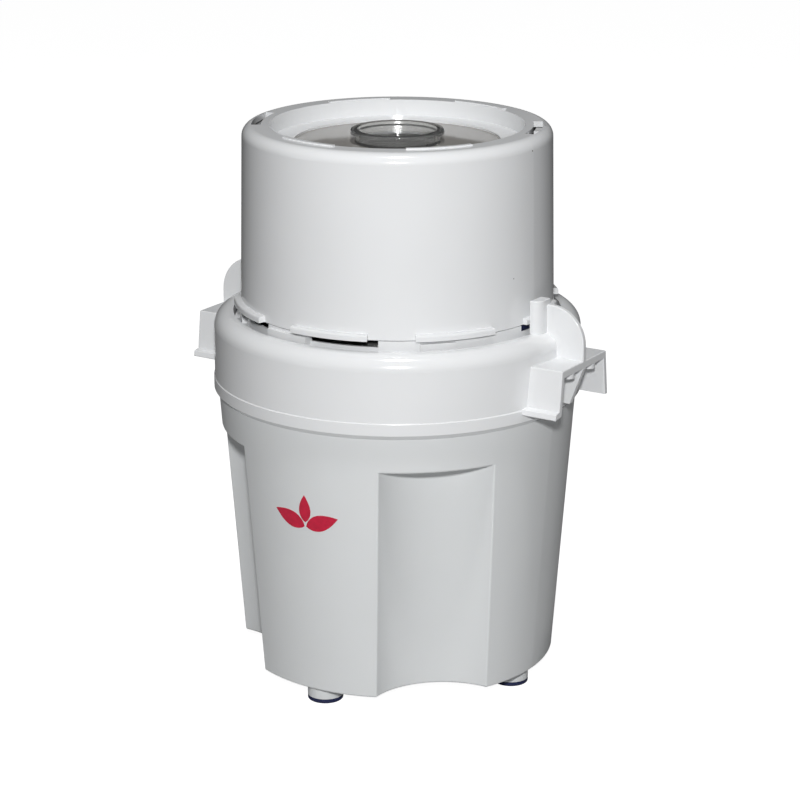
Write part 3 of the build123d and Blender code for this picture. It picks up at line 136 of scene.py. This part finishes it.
def dusted(tree, body):
    """Darken the colour in rare specks, a fraction of a millimetre across."""
    coordinates = tree.nodes.new("ShaderNodeTexCoord")
    cells = tree.nodes.new("ShaderNodeTexVoronoi")
    cells.inputs["Scale"].default_value = SPECK_CELLS
    tree.links.new(coordinates.outputs["Object"], cells.inputs["Vector"])
    near = compare(tree, cells.outputs["Distance"], SPECK_SIZE, above=False)
    chosen = compare(tree, cells.outputs["Color"], SPECK_RARITY, above=True)
    both = tree.nodes.new("ShaderNodeMath")
    both.operation = "MULTIPLY"
    tree.links.new(near, both.inputs[0])
    tree.links.new(chosen, both.inputs[1])
    blend = tree.nodes.new("ShaderNodeMix")
    blend.data_type = "RGBA"
    blend.inputs[MIX_B].default_value = SPECK_COLOUR
    tree.links.new(both.outputs["Value"], blend.inputs["Factor"])
    tree.links.new(body, blend.inputs[MIX_A])
    return blend.outputs[MIX_RESULT]


# ---- materials -------------------------------------------------------------------------
def moulded(name, colour, gloss, grain_depth, grain_scale=1400.0, specks=False):
    """Injection-moulded plastic: faint cloudiness, uneven gloss, fine grain and slow waves."""
    material, tree, shader = new_material(name)
    cloud = noise(tree, 14.0, 3.0)
    body = ramp(tree, cloud, (0.3, tint(colour, 0.975)), (0.7, tint(colour, 1.01)))
    if specks:
        body = dusted(tree, body)
    tree.links.new(body, shader.inputs["Base Color"])
    smear = noise(tree, 42.0, 4.0, 0.6, (1.0, 1.0, 0.35))
    tree.links.new(spread(tree, smear, gloss - 0.035, gloss + 0.045), shader.inputs["Roughness"])
    grain = noise(tree, grain_scale, 2.0)
    wave = noise(tree, 30.0, 1.0)
    bump(tree, shader, (grain, grain_depth), (wave, 0.00012))
    set_sockets(shader, IOR=1.53, Subsurface_Weight=0.06, Subsurface_Radius=(0.002, 0.0018, 0.0015))
    return material


def rubber(name, colour):
    """Matt moulded rubber with a dusty bloom."""
    material, tree, shader = new_material(name)
    bloom = noise(tree, 90.0, 5.0, 0.65)
    body = ramp(tree, bloom, (0.35, tint(colour, 0.85)), (0.75, tint(colour, 1.25)))
    tree.links.new(body, shader.inputs["Base Color"])
    tree.links.new(spread(tree, bloom, 0.42, 0.6), shader.inputs["Roughness"])
    bump(tree, shader, (noise(tree, 2200.0, 2.0), 0.00006))
    set_sockets(shader, IOR=1.5)
    return material


def metal(name, colour, gloss, stretch, depth=0.00002):
    """Machined or drawn metal with fine marks running one way."""
    material, tree, shader = new_material(name)
    marks = noise(tree, 260.0, 4.0, 0.6, stretch)
    body = ramp(tree, marks, (0.3, tint(colour, 0.86)), (0.7, tint(colour, 1.06)))
    tree.links.new(body, shader.inputs["Base Color"])
    tree.links.new(spread(tree, marks, gloss - 0.06, gloss + 0.1), shader.inputs["Roughness"])
    bump(tree, shader, (marks, depth))
    set_sockets(shader, Metallic=1.0)
    return material


def clear(name, colour, gloss, passing, ior=1.49):
    """Clear plastic, or plastic whose grey colour paints the shade behind it, with faint flow marks
    and handling haze.
    """
    material, tree, shader = new_material(name)
    haze = noise(tree, 26.0, 4.0, 0.6)
    body = ramp(tree, haze, (0.3, tint(colour, 0.965)), (0.7, tint(colour, 1.02)))
    tree.links.new(body, shader.inputs["Base Color"])
    tree.links.new(spread(tree, haze, gloss, gloss + 0.05), shader.inputs["Roughness"])
    bump(tree, shader, (noise(tree, 55.0, 2.0), 0.00006))
    set_sockets(shader, IOR=ior, Transmission_Weight=passing)
    return material


WHITE = (0.775, 0.785, 0.795)
NAVY = (0.012, 0.018, 0.075)

by_slot = {
    "white_plastic": moulded("white_abs", WHITE, 0.14, 0.000003, specks=True),
    "navy_rubber": rubber("navy_rubber_foot", NAVY),
    "navy_plastic": moulded("navy_acetal", (0.008, 0.012, 0.05), 0.3, 0.00001),
    "steel": metal("zinc_steel", (0.62, 0.62, 0.6), 0.32, (1.0, 1.0, 6.0)),
    "blade_steel": metal("blade_stainless", (0.68, 0.68, 0.67), 0.2, (1.0, 9.0, 1.0)),
    "dark_plastic": moulded("dark_nylon", (0.03, 0.03, 0.032), 0.4, 0.00002),
    "white_rubber": rubber("white_rubber_bush", (0.72, 0.72, 0.7)),
    "black_rubber": rubber("black_rubber_seal", (0.02, 0.02, 0.02)),
    "silicone": rubber("clear_silicone", (0.62, 0.62, 0.6)),
    "core_steel": metal("lamination_steel", (0.36, 0.36, 0.37), 0.45, (1.0, 1.0, 60.0)),
    "copper": metal("enamelled_copper", (0.72, 0.32, 0.13), 0.28, (1.0, 1.0, 14.0), 0.00008),
    "carbon": rubber("brush_carbon", (0.025, 0.025, 0.027)),
    "bronze": metal("sintered_bronze", (0.56, 0.38, 0.18), 0.48, (1.0, 1.0, 1.0)),
    "cast_aluminium": metal("cast_aluminium", (0.58, 0.58, 0.59), 0.5, (0.6, 0.6, 0.6), 0.00006),
    "gear_plastic": moulded("natural_acetal", (0.66, 0.64, 0.56), 0.34, 0.00001),
    "clear_plastic": clear("clear_acrylic", (0.97, 0.98, 0.97), 0.03, 0.93),
    # Window plastic: glossy, but its grey-beige colour is painted shade of the white interior seen
    # through a clear lid; little light passes.
    "window_plastic": clear("window_grey_painted_shade", (0.4, 0.385, 0.36), 0.06, 0.2),
}
housing_white = moulded("white_housing", (0.735, 0.752, 0.758), 0.34, 0.00001, 900.0)

by_node = {"motor_housing": housing_white, "base_plate": housing_white}

for name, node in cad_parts.items():
    slot = node.data.materials[0].name.split(".")[0]
    node.data.materials[0] = by_node.get(name, by_slot[slot])


# ---- emblem printed on the front lobe ---------------------------------------------------
EMBLEM_TURN = math.radians(1.0)
EMBLEM_Z = 92 * MM
INK_PROUD = 0.06 * MM
INK_SINK = 0.05 * MM
INK_EDGE = 1.2 * MM
OUTSIDE_R = 200 * MM
SIDE_LEAF = (17 * MM, 7.5 * MM)
MIDDLE_LEAF = (13 * MM, 6 * MM)


def ink(name, colour):
    """Screen-printed ink: slightly uneven cover and a soft sheen."""
    material, tree, shader = new_material(name)
    cover = noise(tree, 420.0, 3.0, 0.6)
    body = ramp(tree, cover, (0.3, tint(colour, 0.86)), (0.7, tint(colour, 1.08)))
    tree.links.new(body, shader.inputs["Base Color"])
    tree.links.new(spread(tree, cover, 0.3, 0.42), shader.inputs["Roughness"])
    bump(tree, shader, (cover, 0.00001))
    set_sockets(shader, IOR=1.5)
    return material


def leaf(length, width, turn, steps=22):
    """Outline of a pointed leaf that starts at the origin and leans by turn."""
    side = []
    for step in range(steps + 1):
        share = step / steps
        half = width / 2 * math.sin(math.pi * share ** 0.8) ** 0.9
        side.append((length * share, half))
    points = side + [(x, -y) for x, y in reversed(side[1:-1])]
    return [
        (x * math.cos(turn) - y * math.sin(turn), x * math.sin(turn) + y * math.cos(turn))
        for x, y in points
    ]


def printed(name, outlines, material):
    """Thin ink shapes, given in metres on the lobe's own face, laid on the housing's surface."""
    depsgraph = bpy.context.evaluated_depsgraph_get()
    housing = BVHTree.FromObject(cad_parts["motor_housing"], depsgraph)
    middle_hit = housing.ray_cast(Vector((0, -OUTSIDE_R, EMBLEM_Z)), Vector((0, 1, 0)))
    middle_r = middle_hit[0].xy.length
    mesh = bpy.data.meshes.new(name)
    shape = bmesh.new()
    for points in outlines:
        face = shape.faces.new([shape.verts.new((x, 0, y)) for x, y in points])
        bmesh.ops.triangulate(shape, faces=[face])
    for _ in range(2):
        long_edges = [e for e in shape.edges if e.calc_length() > INK_EDGE]
        bmesh.ops.subdivide_edges(shape, edges=long_edges, cuts=1)
    bmesh.ops.triangulate(shape, faces=shape.faces[:])
    top = shape.faces[:]
    made = bmesh.ops.extrude_face_region(shape, geom=top, use_keep_orig=True)
    raised = {v for v in made["geom"] if isinstance(v, bmesh.types.BMVert)}
    for v in shape.verts:
        way = EMBLEM_TURN - math.pi / 2 + v.co.x / middle_r
        outward = Vector((math.cos(way), math.sin(way), 0))
        start = outward * OUTSIDE_R + Vector((0, 0, EMBLEM_Z + v.co.z))
        skin = housing.ray_cast(start, -outward)[0]
        v.co = skin + outward * (INK_PROUD if v in raised else -INK_SINK)
    bmesh.ops.recalc_face_normals(shape, faces=shape.faces[:])
    shape.to_mesh(mesh)
    shape.free()
    piece = bpy.data.objects.new(name, mesh)
    bpy.context.scene.collection.objects.link(piece)
    mesh.materials.append(material)
    return piece


def shifted(points, x, y):
    """The outline moved sideways and up on the lobe's face."""
    return [(px + x, py + y) for px, py in points]


leaves = [
    shifted(leaf(*SIDE_LEAF, math.radians(20)), 0.4 * MM, -3 * MM),
    shifted(leaf(*SIDE_LEAF, math.radians(160)), -0.4 * MM, -3 * MM),
    shifted(leaf(*MIDDLE_LEAF, math.radians(90)), 0, -1 * MM),
]
emblem = printed("front_emblem", leaves, ink("red_ink", (0.58, 0.008, 0.045)))
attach(emblem, "base")


# ---- stage: floor, lights and camera ----------------------------------------------------
CAMERA_AZIMUTH = math.radians(32.0)
CAMERA_DISTANCE = 1.161
CAMERA_HEIGHT = 0.483
CAMERA_PITCH = math.radians(16.92)
CAMERA_LENS = 117.1
CAMERA_SHIFT = (0.0033, -0.0072)

# The camera sees the floor and the world as almost white; the object is lit by them less.
FLOOR_GLOW = 0.95
WORLD_GLOW = 1.0
WORLD_LIGHT = 0.04
FLOOR_R = 14.0
LIGHT_TARGET = (0, 0, 140 * MM)


def by_camera_ray(tree, other, camera_sees):
    """A strength that is camera_sees for rays from the camera, and other for the rest."""
    path = tree.nodes.new("ShaderNodeLightPath")
    return spread(tree, path.outputs["Is Camera Ray"], other, camera_sees, 0.0, 1.0)


def pale_floor():
    """Round pale floor, far wider than any view needs."""
    material, tree, shader = new_material("pale_floor")
    mottle = noise(tree, 3.0, 4.0, 0.6)
    body = ramp(tree, mottle, (0.3, (0.42, 0.42, 0.42)), (0.7, (0.45, 0.45, 0.45)))
    tree.links.new(body, shader.inputs["Base Color"])
    tree.links.new(spread(tree, mottle, 0.7, 0.8), shader.inputs["Roughness"])
    set_sockets(shader, Emission_Color=(1, 1, 1, 1))
    tree.links.new(by_camera_ray(tree, 0.0, FLOOR_GLOW), shader.inputs["Emission Strength"])
    mesh = bpy.data.meshes.new("floor")
    shape = bmesh.new()
    bmesh.ops.create_circle(shape, cap_ends=True, radius=FLOOR_R, segments=96)
    shape.to_mesh(mesh)
    shape.free()
    floor = bpy.data.objects.new("floor", mesh)
    mesh.materials.append(material)
    bpy.context.scene.collection.objects.link(floor)


def aim(thing, target):
    """Turn a light so that it points at the target."""
    thing.rotation_euler = (Vector(target) - thing.location).to_track_quat("-Z", "Y").to_euler()


def area_light(name, azimuth_deg, elevation_deg, distance, size, power):
    """Round soft light placed by its angles round the object; azimuth 0 is in front of -Y."""
    data = bpy.data.lights.new(name, "AREA")
    data.shape = "DISK"
    data.size = size
    data.energy = power
    light = bpy.data.objects.new(name, data)
    a = math.radians(azimuth_deg)
    e = math.radians(elevation_deg)
    light.location = Vector(LIGHT_TARGET) + distance * Vector(
        (math.sin(a) * math.cos(e), -math.cos(a) * math.cos(e), math.sin(e))
    )
    aim(light, LIGHT_TARGET)
    bpy.context.scene.collection.objects.link(light)


def studio():
    """Weak pale world, a strong light just above the camera and a softer one overhead."""
    world = bpy.data.worlds.new("studio")
    world.use_nodes = True
    tree = world.node_tree
    tree.nodes["Background"].inputs["Color"].default_value = (0.97, 0.98, 1.0, 1)
    strength = by_camera_ray(tree, WORLD_LIGHT, WORLD_GLOW)
    tree.links.new(strength, tree.nodes["Background"].inputs["Strength"])
    bpy.context.scene.world = world
    area_light("key", 31.5, 22.9, 1.26, 0.08, 10.3)
    area_light("top", 32, 74, 1.4, 0.12, 8.0)


def camera():
    """Main viewpoint: to the right of the front and a little above."""
    data = bpy.data.cameras.new("camera")
    data.sensor_width = 36.0
    data.lens = CAMERA_LENS
    data.shift_x, data.shift_y = CAMERA_SHIFT
    data.clip_end = 100
    view = bpy.data.objects.new("camera", data)
    view.location = (
        CAMERA_DISTANCE * math.sin(CAMERA_AZIMUTH),
        -CAMERA_DISTANCE * math.cos(CAMERA_AZIMUTH),
        CAMERA_HEIGHT,
    )
    view.rotation_euler = (math.pi / 2 - CAMERA_PITCH, 0, CAMERA_AZIMUTH)
    bpy.context.scene.collection.objects.link(view)
    bpy.context.scene.camera = view


pale_floor()
studio()
camera()
bpy.context.scene.view_settings.view_transform = "Standard"
